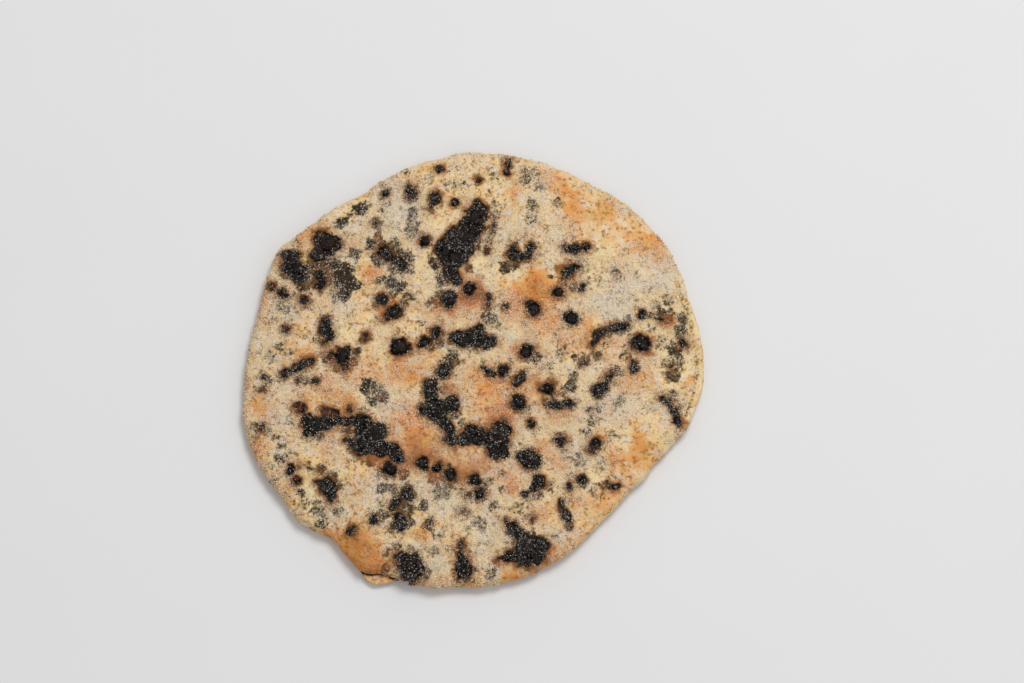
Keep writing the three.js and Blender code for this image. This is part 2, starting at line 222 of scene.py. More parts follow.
# Where the oven coloured the crust, from golden (0.4) to deep orange (1): (x, y, radius, strength).
TOASTED = [
    (20, 31, 5.5, 0.56), (22.5, 25.5, 5.5, 0.44), (15.5, 22, 6.5, 0.60), (28, 30, 5.5, 0.42),
    (12, 28, 5, 0.22), (-2, 25, 5.5, 0.42), (1.5, 29.5, 3, 0.40), (-14, 17.5, 6.5, 0.30),
    (-27, 24, 4.5, 0.50), (-30.5, 21, 3.5, 0.35), (-36, 34.5, 3.6, 0.55), (-60, 10, 5.5, 0.38),
    (-57, -6, 6.5, 0.28), (-48, -8, 6, 0.24), (-33, 1, 9, 0.22), (-24, -4, 9, 0.26), (-18, 6, 8, 0.20),
    (-40, -12, 6, 0.20), (-24, -17.5, 5, 0.55), (-17, -24, 6.5, 0.40), (8, -7, 7, 0.48),
    (8, -16.6, 6, 0.56), (12, 0, 6.5, 0.30), (18.5, 8.5, 5, 0.42), (21, -6, 5, 0.30), (24, 14, 8.5, 0.34),
    (37, 13, 8, 0.28), (33, 64, 5, 0.34), (27, 69.5, 5, 0.28), (35, 55, 7, 0.28), (47, 56, 7, 0.26),
    (54, 50, 6, 0.34), (61.5, 46, 5, 0.28), (65, 41.5, 4, 0.26), (14, 64, 3.4, 0.46), (13, 58, 3.4, 0.34),
    (-17, 71, 4.2, 0.44), (-12, 66, 3, 0.20), (-58, 46, 5, 0.40), (-74, 24, 4, 0.44), (48, 9.5, 3.6, 0.30),
    (52, -4.5, 4.5, 0.34), (59, -4, 5.5, 0.34), (33, -15.5, 4.2, 0.44), (27, -17, 3.2, 0.28),
    (54, -25, 7.5, 0.26), (58, -33, 7, 0.26), (49, -30, 4.5, 0.28), (30, -33, 4.2, 0.46),
    (13.4, -41.6, 2.4, 0.85), (11.8, -38, 3, 0.36), (24, -27.5, 4.2, 0.30), (-41, -61, 5.6, 0.86),
    (-38, -65.5, 5.4, 0.80), (-33.5, -70.5, 5.4, 0.46), (-34, -62, 4, 0.34), (-17, -57, 3, 0.44),
    (-42, -37, 5, 0.08), (-51, -28, 6.5, 0.32), (-62, -26, 4, 0.18), (44, -46, 4.6, 0.34),
    (25, -51, 4.6, 0.36), (36, -47, 3.6, 0.32), (38, -57, 5, 0.26), (68, 17.4, 3, 0.60),
    (-74, -10, 4.4, 0.44), (-74.5, -27, 4.2, 0.36), (-38, -43, 4.5, 0.05), (14, -73, 4.4, 0.50),
    (22, -69.5, 4, 0.45), (27, -64.5, 3, 0.46), (-1, -77, 4.5, 0.40), (-15, -76.5, 4, 0.36),
    (-52, -18, 5, 0.20), (3, 20, 5, 0.20), (-69, 41, 2, 0.55), (-12, 29.5, 3, 0.20), (-70, -15, 4, 0.20),
    (-64, -40, 5, 0.24), (-52, -58, 5, 0.34), (75, -3.5, 2, 0.34), (0, -1, 6, 0.24), (40, 45, 4, 0.20),
]

# Where syrup boiled out and soaked the crust brown: (x, y, radius, strength).
SYRUP_STAINS = [
    (-23, -33, 5.4, 0.72), (-18, -28.6, 5.2, 0.62), (-33.4, -32, 2.8, 0.62), (-13.6, -38.4, 3, 0.50),
    (-12, -31, 4, 0.50), (-14, -36, 2.4, 0.35), (-3, -35, 4.8, 0.58), (-3, -38.6, 3, 0.40),
    (3, -32.5, 5, 0.42), (7, -34, 4, 0.30), (-28, -22, 4, 0.40), (-30.5, -31, 2.2, 0.60),
    (-21.5, -24, 3, 0.40), (-48.8, 5.4, 2.2, 0.85), (-47, 1.4, 1.8, 0.50), (-44, -0.4, 2, 0.70),
    (-41.4, 2.2, 1.6, 0.45), (-50.6, -14.8, 2.2, 0.90), (-59.8, -14.4, 1.8, 0.70), (-58.6, -19.6, 2, 0.60),
    (-42.5, -14.4, 1.7, 0.90), (-45, -16.2, 1.6, 0.45), (-30.8, 18.8, 2.4, 0.75), (-29.4, 22.4, 2, 0.40),
    (-24.4, 7.8, 4, 0.45), (2, 28.8, 1.9, 1.00), (2.2, 32.6, 2, 0.35), (-8.4, 21.2, 3, 0.50),
    (-13.4, 24.2, 2.2, 0.35), (32, 37.8, 1.8, 0.55), (29.8, 36.4, 1.6, 0.55), (27.2, 24.8, 1.8, 0.40),
    (20.2, 19, 2.4, 0.40), (14.6, 6.4, 2.2, 0.50), (18.4, 9.8, 1.8, 0.40), (15.4, -10, 3, 0.45),
    (21.8, -4.2, 2.6, 0.40), (22.6, -11.2, 2.6, 0.40), (26.6, -16, 2, 0.40), (29.6, -9.2, 2, 0.35),
    (11, -17.6, 3.2, 0.60), (12.6, -22.6, 2.4, 0.60), (6, -18.6, 2.6, 0.60), (17, -32.6, 2.6, 0.70),
    (22, -28.8, 2.4, 0.45), (40.2, -28, 1.6, 0.70), (32.8, -24, 1.4, 0.60), (49, -40.3, 1.7, 0.60),
    (58.4, 6.2, 2.2, 0.80), (61.6, 6, 1.6, 0.55), (62.6, 11.2, 1.4, 0.35), (67.6, 17.6, 2.4, 0.55),
    (70.6, -16.3, 1.3, 0.60), (39.9, 8.4, 1.6, 0.45), (26.2, 10, 2.2, 0.25), (-29.2, -68, 1.8, 0.50),
    (-26.4, -64.4, 1.8, 0.30), (-6.6, -67.6, 1.6, 0.35), (-1.2, -66.6, 1.6, 0.30), (26.8, -62, 1.8, 0.40),
    (10, -68.4, 2.4, 0.20), (24.6, -66.6, 2.2, 0.35), (-52, -41, 1.4, 0.50), (-19.2, 58.6, 1.2, 0.30),
    (-22.6, 67.4, 1.2, 0.55), (-11.4, 72.4, 1.2, 0.50), (-53.2, 50, 1.8, 0.60), (-69.8, 30.4, 1.4, 0.75),
    (-33.4, 47, 1.6, 0.50), (-6.4, 2.4, 1.8, 0.25), (-16.4, -3.4, 2, 0.30), (-8.4, -6, 3, 0.40),
    (-3.4, -9, 2.2, 0.30), (-5.4, -30, 2, 0.55), (-2.6, 60.4, 1.8, 0.35), (3.8, 61, 1.4, 0.25),
    (6.2, 46.4, 2, 0.30), (27.2, -4, 2.2, 0.30), (45.8, -24.4, 1.6, 0.35), (56, 21.8, 1.2, 0.40),
    (-41.4, -56.2, 1.8, 0.55), (-31.6, -9.6, 1.8, 0.45), (13.4, -44, 2, 0.45), (-19.6, 46, 1.8, 0.30),
    (11.4, 71.6, 1.4, 0.60), (1.8, 68.6, 1.4, 0.60), (-36.6, 13.4, 1.6, 0.45), (-57.6, 12.8, 1.2, 0.20),
    (-74.6, 20.4, 1.4, 0.20), (-64.8, 15, 1.8, 0.50), (-41, 46, 3.5, 0.32), (-1.5, 25.4, 3.4, 0.75),
    (3.4, 25.8, 2.4, 0.60), (-39, -63.5, 5.5, 0.42), (73, -17.6, 1.2, 0.80), (40, -28.4, 1.6, 0.50),
    (-8.6, -7.6, 2.6, 0.35), (48.8, -42.6, 1.4, 0.60), (-1, 14.6, 2, 0.35), (-4, 33.6, 1.6, 0.50),
]

# Where the sugar lies thickest, and below zero where little fell: (x, y, radius, strength).
SUGARED = [
    (55, 29, 10, 0.55), (50, 20, 7, 0.35), (64, 34, 6, 0.30), (34, 24, 6, 0.25), (-24, 54, 7, 0.45),
    (-44, 23, 6, 0.35), (-46, -2, 6, 0.50), (-66, -14, 5, 0.25), (-30, -12, 6, 0.35), (-14, -42, 8, 0.40),
    (-4, -48, 7, 0.40), (-36, -48, 6, 0.30), (-30, -40, 5, 0.35), (62, -8, 6, 0.30), (48, -16, 7, 0.40),
    (24, 0, 6, 0.35), (12, -12, 5, 0.25), (36, -26, 6, 0.30), (-52, -46, 7, 0.35), (8, 16, 5, 0.25),
    (-8, -10, 5, 0.30), (0, -58, 7, 0.35), (30, -58, 6, 0.30), (-64, 20, 6, 0.30), (38, 32, 6, 0.35),
    (12, 48, 5, 0.30), (60, 2, 5, 0.25), (-36, 52, 5, 0.25), (-38, -64, 7.5, -0.80), (-18, -30, 7, -0.45),
    (-3, -35, 6, -0.40), (62, -28, 9, -0.40), (20, 30, 6, -0.10), (45, 57, 11, -0.22), (-14, 54, 6, -0.20),
    (-4, 62, 6, -0.20), (-20, 32, 4, -0.20), (3, 33, 4, -0.20), (-45, 12, 5, -0.20), (-60, 32, 4, -0.20),
    (16, -73, 5, -0.80), (24, -69, 4, -0.60), (52, -36, 7, -0.45), (44, -52, 6, -0.45),
]

# A groove where the last fold of pastry was pressed down, as a chain of points with no radius, darkened as
# painted shade.
# Outside it is the smooth lip of dough, between these two levels of Y.
FOLD_LINE = [
    (70.6, 32, 0), (73.2, 24, 0), (76, 14, 0), (77.2, 4, 0), (77.4, -3, 0), (75.8, -10, 0), (73.2, -17, 0),
    (70.4, -24, 0),
]
LIP_START = -26.0
LIP_END = 32.0

# ------------------------------------------------------------------------------
# Shape
# ------------------------------------------------------------------------------

OUTLINE_STEPS = 720  # directions in which the CAD cake's outline is measured
WALL_LEVELS = 24  # heights at which it is measured, between these shares of the whole height
WALL_SHARES = (0.16, 0.62)
CROWN_ROWS = 40  # rows of heights measured between the axis and the shoulder
FAR = 99.0  # beyond anything on the cake
TOP_CELLS = 280  # cells across the top crust, so that one is about 0.6 mm
SHOULDER_SHARE = 0.92  # share of the grid that lies inside the shoulder
SHOULDER_INSET = 2.8  # the shoulder is this far inside the rim
SHOULDER_SLOPE = math.radians(16)  # how steeply the top already falls where the shoulder starts
FOOT_INSET = 4.6  # and the foot of the rim this far
RIM_ROWS = 8  # from the rim's widest level to its foot
BASE_STEPS = (0.03, 0.05, 0.10)  # from ring to ring of the base, as shares; the last halves the points
FEWEST_ROUND = 70  # points in the base's last ring
PIT_DEPTH = 1.3  # below the crust, under bare fruit
LIP_HEIGHT = 0.35  # torn crust curls up round bare fruit
NO_FRUIT = 9.0  # a gap wide enough for no fruit to be near
TAB_ANGLE = math.radians(246)  # where the folded tab sticks out from under the crust
TAB_REACH = math.radians(8)  # half the angle that it takes
TAB_NOTCH = 2.0  # how far the crust's edge draws back over the tab
NOTCH_ANGLE = TAB_ANGLE + 0.02
NOTCH_SPREAD = 0.05
TAB_START = math.radians(237.5)
TAB_END = math.radians(252.5)
TAB_ROWS = 60  # along the tab
TAB_ROUND = 28  # points round its section
LATTICE = 256  # values along each side of a noise's lattice
LATTICE_START = (700.37, 700.71)  # keeps the whole cake on one side of its origin
SPACE_LATTICE = 32  # the same for noise in space


def smoothstep(low, high, value):
    """From 0 at low to 1 at high, level at both ends."""
    share = np.clip((value - low) / (high - low), 0, 1)
    return share * share * (3 - 2 * share)


def noise(x, y, size, seed):
    """Smooth noise from -1 to 1: random values on a square lattice of this size, blended across each cell."""
    table = np.random.default_rng(seed).uniform(-1, 1, (LATTICE, LATTICE))
    across, up = x / size + LATTICE_START[0], y / size + LATTICE_START[1]
    i, j = np.floor(across).astype(int), np.floor(up).astype(int)
    u, v = smoothstep(0, 1, across - i), smoothstep(0, 1, up - j)
    i, j = i % (LATTICE - 1), j % (LATTICE - 1)
    low = table[j, i] * (1 - u) + table[j, i + 1] * u
    high = table[j + 1, i] * (1 - u) + table[j + 1, i + 1] * u
    return low * (1 - v) + high * v


def rough(x, y, size, layers, seed):
    """Noise at this size, plus the same at half the size and half the height, and so on."""
    total = np.zeros(np.shape(x))
    for layer in range(layers):
        total += noise(x, y, size / 2**layer, seed + layer) / 2**layer
    return total


def distance_to_runs(x, y, runs):
    """How far each point is outside the nearest chain of circles, below zero inside. Neighbours in a chain
    are joined by a band whose half width runs evenly from one radius to the next."""
    y = y - LAYOUT_Y
    nearest = np.full(np.shape(x), FAR)
    for run in runs:
        links = list(zip(run, run[1:])) or [(run[0], run[0])]
        for (x0, y0, r0), (x1, y1, r1) in links:
            dx, dy = x1 - x0, y1 - y0
            along = np.clip(((x - x0) * dx + (y - y0) * dy) / max(dx * dx + dy * dy, 1e-9), 0, 1)
            away = np.hypot(x - x0 - along * dx, y - y0 - along * dy) - r0 - along * (r1 - r0)
            nearest = np.minimum(nearest, away)
    return nearest


def patches(x, y, spots):
    """The sum of round patches, each of its strength in the middle and fading as a bell curve."""
    y = y - LAYOUT_Y
    total = np.zeros(np.shape(x))
    for x0, y0, radius, strength in spots:
        total += strength * np.exp(-((x - x0) ** 2 + (y - y0) ** 2) / radius**2)
    return total


BARE_FRUIT = [[currant] for currant in SINGLE_CURRANTS + RED_CURRANTS] + CURRANT_RUNS


class CadShape:
    """The CAD cake's outline and top, measured by dropping and shooting rays at it."""

    def __init__(self, node):
        mesh = node.data
        points = np.empty(len(mesh.vertices) * 3, np.float32)
        mesh.vertices.foreach_get("co", points)
        points = points.reshape(-1, 3)
        faces = [tuple(face.vertices) for face in mesh.polygons]
        tree = BVHTree.FromPolygons((points / MM).tolist(), faces)
        self.turns = np.linspace(-math.pi, math.pi, OUTLINE_STEPS + 1)
        levels = np.linspace(*WALL_SHARES, WALL_LEVELS) * (points[:, 2].max() / MM)
        reach = np.array([[self.shoot(tree, turn, z) for turn in self.turns] for z in levels])
        widest = int(reach.mean(1).argmax())
        self.rim_height = levels[widest]
        self.widest = reach[widest]

        # over the tab, the crust's edge is as far out as the upper wall would put it
        upper = reach[-1] + np.median(reach[widest] - reach[-1])
        from_tab = np.abs((self.turns - TAB_ANGLE + math.pi) % (2 * math.pi) - math.pi)
        self.crust = np.where(from_tab < TAB_REACH, np.minimum(upper, self.widest), self.widest)
        self.crust -= TAB_NOTCH * np.exp(-(((self.turns + 2 * math.pi - NOTCH_ANGLE) / NOTCH_SPREAD) ** 2))

        shares = np.linspace(0, 1, CROWN_ROWS + 1)
        inner = (self.crust - SHOULDER_INSET)[None, :] * shares[:, None]
        across, up = inner * np.cos(self.turns), inner * np.sin(self.turns)
        drops = [self.drop(tree, a, b) for a, b in zip(across.ravel(), up.ravel())]
        self.top = self.smoothed(np.array(drops).reshape(across.shape))

    @staticmethod
    def shoot(tree, turn, z):
        """How far out the wall is at a turn and a level, from the cake's axis."""
        return tree.ray_cast(Vector((0, 0, z)), Vector((math.cos(turn), math.sin(turn), 0)))[3]

    @staticmethod
    def drop(tree, x, y):
        """The top's height at a point."""
        return tree.ray_cast(Vector((x, y, FAR)), Vector((0, 0, -1)))[0].z

    @staticmethod
    def smoothed(table):
        """The table with its facets rounded off, by a few passes of a 1-2-1 average along and across."""
        for _ in range(6):
            ring = table[:, :-1]
            ring = (np.roll(ring, 1, 1) + 2 * ring + np.roll(ring, -1, 1)) / 4
            table = np.concatenate([ring, ring[:, :1]], 1)
            table[0] = table[0].mean()
        for _ in range(2):
            table[1:-1] = (table[:-2] + 2 * table[1:-1] + table[2:]) / 4
        return table

    def crust_radius(self, angle):
        """The upper crust's outline at an angle."""
        return np.interp(angle, self.turns, self.crust, period=2 * math.pi)

    def widest_radius(self, angle):
        """The whole cake's outline at an angle, with the tab."""
        return np.interp(angle, self.turns, self.widest, period=2 * math.pi)

    def crown(self, x, y):
        """The smooth top's height at any point, read between the table's entries."""
        angle = np.arctan2(y, x)
        share = np.clip(np.hypot(x, y) / (self.crust_radius(angle) - SHOULDER_INSET), 0, 1)
        row = np.clip(share * CROWN_ROWS, 0, CROWN_ROWS - 0.001)
        column = np.clip((angle + math.pi) / (2 * math.pi) * OUTLINE_STEPS, 0, OUTLINE_STEPS - 0.001)
        i, j = row.astype(int), column.astype(int)
        u, v = row - i, column - j
        low = self.top[i, j] * (1 - v) + self.top[i, j + 1] * v
        high = self.top[i + 1, j] * (1 - v) + self.top[i + 1, j + 1] * v
        return low * (1 - u) + high * u


cad = CadShape(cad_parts[CAKE])


def from_rim(x, y):
    """How far inside the crust's outline each point is."""
    return cad.crust_radius(np.arctan2(y, x)) - np.hypot(x, y)


def fold_radius(x, y):
    """How far out from the axis the fold line is in each point's direction."""
    turns = [math.atan2(b + LAYOUT_Y, a) for a, b, _ in FOLD_LINE]
    reach = [math.hypot(a, b + LAYOUT_Y) for a, b, _ in FOLD_LINE]
    return np.interp(np.arctan2(y, x), turns[::-1], reach[::-1])


def fruit_gap(x, y):
    """How far each point is from the torn edge of the crust round bare fruit, below zero over the fruit. The
    edge wanders by noise at 2.6 mm and 1.1 mm."""
    ragged = 0.85 * noise(x, y, 2.6, 11) + 0.55 * noise(x, y, 1.1, 12)
    return distance_to_runs(x, y, BARE_FRUIT) + ragged


def show_through(x, y):
    """How strongly fruit under the crust shows, from 0 to 1: the strongest of the covered currants at the
    point, each round with a ragged edge."""
    ragged = 0.8 * noise(x, y, 2.0, 21) + 0.5 * noise(x, y, 0.9, 22)
    strongest = np.zeros(np.shape(x))
    for x0, y0, radius, strength in COVERED_FRUIT:
        away = np.hypot(x - x0, y - LAYOUT_Y - y0) + ragged
        strongest = np.maximum(strongest, strength * (1 - smoothstep(0.45 * radius, 1.25 * radius, away)))
    return strongest


CRUST_FIELDS = ("gap", "veil_and_shade", "toast", "syrup", "sugar", "base")


def crust_fields(x, y):
    """What the baking did at each point: the gap to bare fruit in mm, and from 0 to 1 how much fruit shows
    through (with painted shade along the fold's groove added to it), how toasted, how syrupy and how sugary
    the crust is. The base's share is added by the shapes."""
    gap = fruit_gap(x, y)
    spread = 1.15 + 0.75 * noise(x, y, 5.0, 23)
    around = 0.90 * np.exp(-np.maximum(gap, 0) / spread) * (0.75 + 0.45 * noise(x, y, 2.2, 24))
    shown = show_through(x, y)
    veil_and_shade = np.maximum(shown, around)
    # painted shade: the crust is darkened along the fold's groove, through the same field as fruit that shows
    # through
    from_fold = distance_to_runs(x, y, [FOLD_LINE]) + 0.3 * noise(x, y, 2.0, 25)
    veil_and_shade = np.maximum(veil_and_shade, 0.30 * np.exp(-((from_fold / 0.5) ** 2)))
    edge = from_rim(x, y)
    mottled = rough(x, y, 6.0, 3, 31)
    lower_edge = smoothstep(-20, -60, y + 0.3 * x)
    rim_toast = (0.05 + 0.08 * lower_edge) * (1 - smoothstep(0.5, 6.0, edge + 1.5 * mottled))
    toast = 0.07 + 1.15 * patches(x, y, TOASTED) * (1 + 0.35 * mottled) + 0.11 * mottled + rim_toast
    halo = np.exp(-np.maximum(gap, 0) / 1.8) * (0.66 + 0.55 * noise(x, y, 7.0, 41))
    halo *= 1 - 0.6 * shown
    syrup = patches(x, y, SYRUP_STAINS) * (1 + 0.35 * rough(x, y, 3.0, 2, 42)) + halo
    sugar = 0.24 + patches(x, y, SUGARED) + 0.42 * rough(x, y, 9.0, 4, 51)
    sugar *= (1 - 0.35 * np.clip(toast, 0, 1)) * (1 - 0.55 * np.clip(syrup, 0, 1))
    on_lip = smoothstep(LIP_START, LIP_START + 8, y) * smoothstep(-LIP_END, 8 - LIP_END, -y) * (x > 0)
    sugar *= smoothstep(-1.0, 1.2, edge) * (1 - on_lip * (1 - smoothstep(2.0, 4.0, edge)))
    return {
        "gap": gap,
        "veil_and_shade": np.clip(veil_and_shade, 0, 1),
        "toast": np.clip(toast, 0, 1),
        "syrup": np.clip(syrup, 0, 1),
        "sugar": np.clip(sugar, 0, 1),
    }


def relief(x, y, fields):
    """How far the crust stands above the smooth crown. Bare fruit lies in pits with a curled lip, covered
    fruit lifts the crust into low bumps, and rolling left waves at 9 mm down to wrinkles at 1 mm."""
    gap = fields["gap"]
    pit = PIT_DEPTH * smoothstep(0.35, -0.9, gap)
    lip = LIP_HEIGHT * np.exp(-(((gap - 0.9) / 0.8) ** 2)) * (0.7 + 0.6 * noise(x, y, 3.0, 61))
    bumps = 0.55 * smoothstep(0.15, 0.85, fields["veil_and_shade"]) * (0.8 + 0.5 * noise(x, y, 1.6, 62))
    waves = 0.62 * rough(x, y, 9.0, 2, 63) + 0.36 * rough(x, y, 3.4, 2, 65) + 0.17 * noise(x, y, 1.3, 67)
    from_fold = distance_to_runs(x, y, [FOLD_LINE])
    groove = 0.8 * np.exp(-((from_fold / 0.6) ** 2))
    ridge = 0.8 * (np.hypot(x, y) > fold_radius(x, y)) * np.exp(-(((from_fold - 1.3) / 0.9) ** 2))
    return waves * (1 - 0.6 * ridge) + lip + bumps - pit - groove + ridge


def disc_grid(cells):
    """A square grid bent into a disc: each square ring becomes a circle at its share of the radius, and the
    place along the ring becomes the angle."""
    side = np.linspace(-1, 1, cells + 1)
    a, b = np.meshgrid(side, side)
    wide = np.abs(a) > np.abs(b)
    main, cross = np.where(wide, a, b), np.where(wide, b, a)
    lean = math.pi / 4 * np.divide(cross, main, out=np.zeros_like(main), where=main != 0)
    angle = np.where(wide, lean, math.pi / 2 - lean) + np.where(main < 0, math.pi, 0)
    return np.abs(main).ravel(), angle.ravel()


def grid_edge(cells):
    """The grid's outer points in order, anticlockwise."""
    side = cells + 1
    steps = np.arange(cells)
    right = steps * side + cells
    top = cells * side + cells - steps
    left = (cells - steps) * side
    return np.concatenate([right, top, left, steps])


def pastry_surface():
    """The whole pastry as one closed skin, and its field values.

    The top is a disc grid. Inside the shoulder its height is the crown plus the relief. Over the shoulder it
    follows a quarter of an oval down to the rim's widest level, with the relief turned to stand square to it.
    Rows of points then go round under the rim to the foot, and rings close the flat base, with half as many
    points from time to time so that they don't crowd."""
    share, angle = disc_grid(TOP_CELLS)
    rim = cad.crust_radius(angle)
    shoulder = rim - SHOULDER_INSET
    flat = np.clip(share / SHOULDER_SHARE, 0, 1)
    turn = SHOULDER_SLOPE + (math.pi / 2 - SHOULDER_SLOPE) * np.clip(
        (share - SHOULDER_SHARE) / (1 - SHOULDER_SHARE), 0, 1
    )
    over = share > SHOULDER_SHARE
    out = (np.sin(turn) - math.sin(SHOULDER_SLOPE)) / (1 - math.sin(SHOULDER_SLOPE))
    down = (math.cos(SHOULDER_SLOPE) - np.cos(turn)) / math.cos(SHOULDER_SLOPE)
    radius = np.where(over, shoulder + SHOULDER_INSET * out, shoulder * flat)
    x, y = radius * np.cos(angle), radius * np.sin(angle)
    z = cad.crown(x, y)
    z = np.where(over, z - (z - cad.rim_height) * down, z)
    fields = crust_fields(x, y)
    lift = relief(x, y, fields)
    tilt = np.where(over, turn, 0)
    lift *= 1 - 0.35 * smoothstep(0.9, 1.5, tilt)
    radius = radius + lift * np.sin(tilt)
    top = np.stack([radius * np.cos(angle), radius * np.sin(angle), z + lift * np.cos(tilt)], 1)
    fields["base"] = np.zeros(len(top))

    points, attributes = [top], {name: [values] for name, values in fields.items()}
    side = TOP_CELLS + 1
    corner = (np.arange(TOP_CELLS)[:, None] * side + np.arange(TOP_CELLS)).ravel()
    faces = np.stack([corner, corner + 1, corner + 1 + side, corner + side], 1).tolist()
    ring = grid_edge(TOP_CELLS)
    count = len(top)
    edge_angle, edge_radius = angle[ring], rim[ring]
    edge_lift = lift[ring]

    def close_ring(ring, radius, angle, z, base):
        """Adds a ring of points and the faces between it and the last one, which may have twice as many."""
        nonlocal count
        new = count + np.arange(len(angle))
        count += len(angle)
        x, y = radius * np.cos(angle), radius * np.sin(angle)
        points.append(np.stack([x, y, z], 1))
        values = crust_fields(x, y)
        values["base"] = np.full(len(angle), base)
        values["gap"] = np.maximum(values["gap"], smoothstep(0, 1, base) * NO_FRUIT)
        for name in attributes:
            attributes[name].append(values[name])
        after = np.roll(new, -1)
        if len(ring) == len(new):
            faces.extend(np.stack([ring, new, after, np.roll(ring, -1)], 1).tolist())
            return new
        first, middle, last = ring[0::2], ring[1::2], np.roll(ring[0::2], -1)
        faces.extend(np.stack([first, new, middle], 1).tolist())
        faces.extend(np.stack([middle, new, after], 1).tolist())
        faces.extend(np.stack([middle, after, last], 1).tolist())
        return new

    for row in range(1, RIM_ROWS + 1):
        turn = math.pi / 2 * row / RIM_ROWS
        z = np.full(len(ring), cad.rim_height * (1 - math.sin(turn)))
        bumps = 0.16 * rough(edge_radius * edge_angle, z * 2.2, 2.6, 2, 71) * math.cos(turn)
        radius = edge_radius - FOOT_INSET * (1 - math.cos(turn)) + bumps
        radius += edge_lift * 0.65 * math.cos(turn) ** 2
        ring = close_ring(ring, radius, edge_angle, z, row / RIM_ROWS)
    foot = edge_radius - FOOT_INSET
    share_in = 1.0
    while len(ring) > FEWEST_ROUND:
        for step in BASE_STEPS:
            share_in -= step
            if step == BASE_STEPS[-1]:
                edge_angle, foot = edge_angle[0::2], foot[0::2]
            radius = foot * share_in
            x, y = radius * np.cos(edge_angle), radius * np.sin(edge_angle)
            pleats = np.clip(rough(edge_angle * 30 + 0.1 * x, radius * 0.08, 2.0, 2, 73), 0, 1)
            hollow = 0.30 * np.clip(rough(x, y, 8.0, 2, 75), 0, 1)
            z = smoothstep(1.0, 0.9, share_in) * (0.5 * pleats * smoothstep(0.2, 0.6, share_in) + hollow)
            ring = close_ring(ring, radius, edge_angle, z, 1.0)
    centre = count
    points.append(np.array([[0.0, 0.0, 0.1]]))
    for name in attributes:
        attributes[name].append(np.array([{"base": 1.0, "gap": NO_FRUIT}.get(name, 0.0)]))
    faces.extend(np.stack([ring, np.full(len(ring), centre), np.roll(ring, -1)], 1).tolist())
    attributes = {name: np.concatenate(values) for name, values in attributes.items()}
    return np.concatenate(points), faces, attributes


def folded_tab():
    """The end of the dough, folded out from under the crust, as one closed skin and its field values.

    It is a tongue that runs along the cake's outline. Across, its section is a flattened oval from under the
    crust's edge out to the cake's widest outline. It thins to nothing at both ends, and its edge wanders. The
    strip under the crust's edge is darkened, as a painted shadow of that edge."""
    turns = np.linspace(TAB_START, TAB_END, TAB_ROWS)
    outer = cad.widest_radius(turns) - 0.15 + 0.28 * noise(turns * 80, turns, 1.6, 91)
    inner = cad.crust_radius(turns) - 5.0
    taper = np.sin(np.linspace(0.04, math.pi - 0.04, TAB_ROWS)) ** 0.45
    half = (outer - inner) / 2 * taper
    middle = outer - half - 2.0 * (1 - taper)
    round_it = np.arange(TAB_ROUND) * 2 * math.pi / TAB_ROUND
    across = np.sign(np.cos(round_it)) * np.abs(np.cos(round_it)) ** 0.55
    up = np.sign(np.sin(round_it)) * np.abs(np.sin(round_it)) ** 0.8
    radius = middle[:, None] + half[:, None] * across
    angle = np.repeat(turns[:, None], TAB_ROUND, 1)
    x, y = radius * np.cos(angle), radius * np.sin(angle)
    curl = 1.9 + 0.5 * across + 0.35 * noise(x, y, 3.2, 92) + 0.18 * noise(x, y, 1.2, 93)
    z = curl + 0.75 * taper[:, None] * up
    points = np.stack([x, y, z], 2).reshape(-1, 3)
    rows = np.arange(TAB_ROWS - 1)[:, None] * TAB_ROUND
    here = (rows + np.arange(TAB_ROUND)).ravel()
    beside = (rows + (np.arange(TAB_ROUND) + 1) % TAB_ROUND).ravel()
    faces = np.stack([here, here + TAB_ROUND, beside + TAB_ROUND, beside], 1).tolist()
    count = len(points)
    faces += [list(range(TAB_ROUND)), list(range(count - 1, count - TAB_ROUND - 1, -1))]
    fields = {name: np.zeros(count) for name in CRUST_FIELDS}
    fields["gap"] = np.full(count, NO_FRUIT)
    fields["toast"] = 0.42 + 0.15 * noise(points[:, 0], points[:, 1], 3.0, 94)
    # painted shadow: the strip of the tab under the crust's edge is darkened, through the fruit-shows-through
    # field
    fields["veil_and_shade"] = smoothstep(-1.1, -0.1, from_rim(points[:, 0], points[:, 1]))
    return points, faces, fields


def build_mesh(name, points, faces, attributes, material):
    """A smooth piece from points in millimetres, with a number per point for each attribute."""
    mesh = bpy.data.meshes.new(name)
    mesh.from_pydata((points * MM).tolist(), [], faces)
    for attribute, values in attributes.items():
        stored = mesh.attributes.new(attribute, "FLOAT", "POINT")
        stored.data.foreach_set("value", np.asarray(values, np.float32))
    mesh.shade_smooth()
    mesh.materials.append(material)
    piece = bpy.data.objects.new(name, mesh)
    bpy.context.scene.collection.objects.link(piece)
    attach(piece, "root")
    return piece


# ------------------------------------------------------------------------------
# Fruit
# ------------------------------------------------------------------------------

CURRANT_TURNS = 12  # points round a currant
CURRANT_RINGS = 8  # rings from pole to pole
SINGLE_SIZE = 0.98  # of a single currant beside its circle in the layout
SMALLEST_RADIUS = 0.7  # of a currant in a run
LARGEST_RADIUS = 3.2
LEAST_DEPTH = 0.35  # how far inside the run's edge its middle has to be
CROWDING = 0.54  # how near two middles may be, as a share of both radii together


